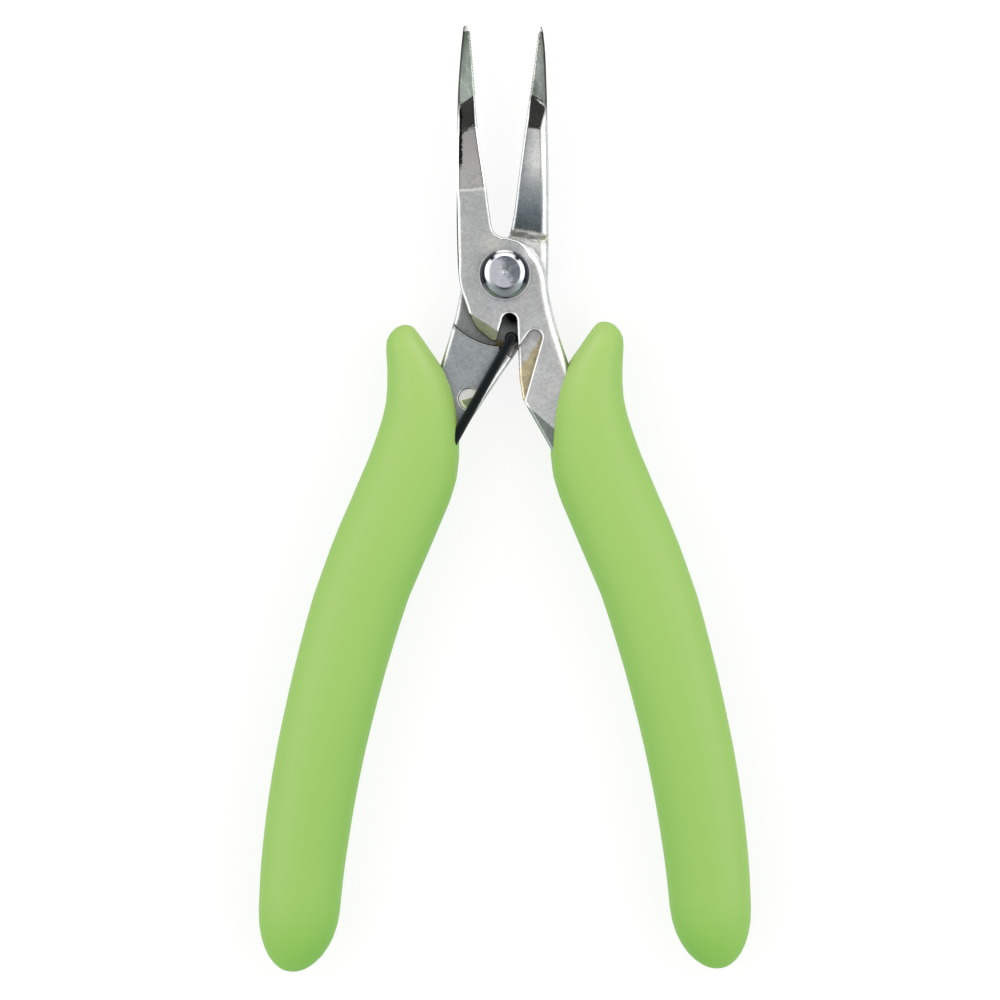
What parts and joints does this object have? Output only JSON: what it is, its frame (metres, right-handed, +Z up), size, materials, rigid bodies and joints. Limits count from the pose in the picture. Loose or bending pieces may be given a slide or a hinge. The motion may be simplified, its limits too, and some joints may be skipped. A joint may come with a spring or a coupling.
{
  "type": "needle nose pliers",
  "caption": "Small plate-type needle nose pliers with a lap joint, riveted pivot, black wire return spring, slim toothed jaws and flared soft green grips, standing open.",
  "frame": {"origin": "middle of the tool's outline on the table plane that both grips rest on", "axes": "+Y along the tool towards the jaw tips, +Z up from the table along the pivot's axis towards the rivet's polished head, +X to the front lever's handle"},
  "size_m": [0.0755, 0.1452, 0.0105],
  "materials": {
    "lever_steel": "tumbled stainless steel, fine satin speckle with bright rounded edges",
    "polished_steel": "polished rivet with a turned satin centre",
    "black_wire": "black oxide spring wire, slightly glossy",
    "soft_green": "matt soft plastic, light green"
  },
  "bodies": {
    "rear_half": {"rear_lever": "lever_steel", "left_grip": "soft_green", "pivot_rivet": "polished_steel", "pivot_washer": "lever_steel"},
    "front_half": {"front_lever": "lever_steel", "right_grip": "soft_green"},
    "spring": {"return_spring": "black_wire"}
  },
  "joints": [
    {"name": "pivot", "type": "hinge", "parent": "rear_half", "child": "front_half", "pos_m": [0, 0.0344, 0.0051], "axis": [0, 0, 1], "range_deg": [-16.1, 4], "stiffness_Nm_per_rad": 0.3},
    {"name": "spring_flex", "type": "hinge", "parent": "rear_half", "child": "spring", "pos_m": [-0.0104, 0.00425, 0.0051], "axis": [0, 0, 1], "range_deg": [-2, 7]}
  ],
  "couplings": [
    {"joint": "spring_flex", "follows": "pivot", "ratio": -0.42}
  ]
}
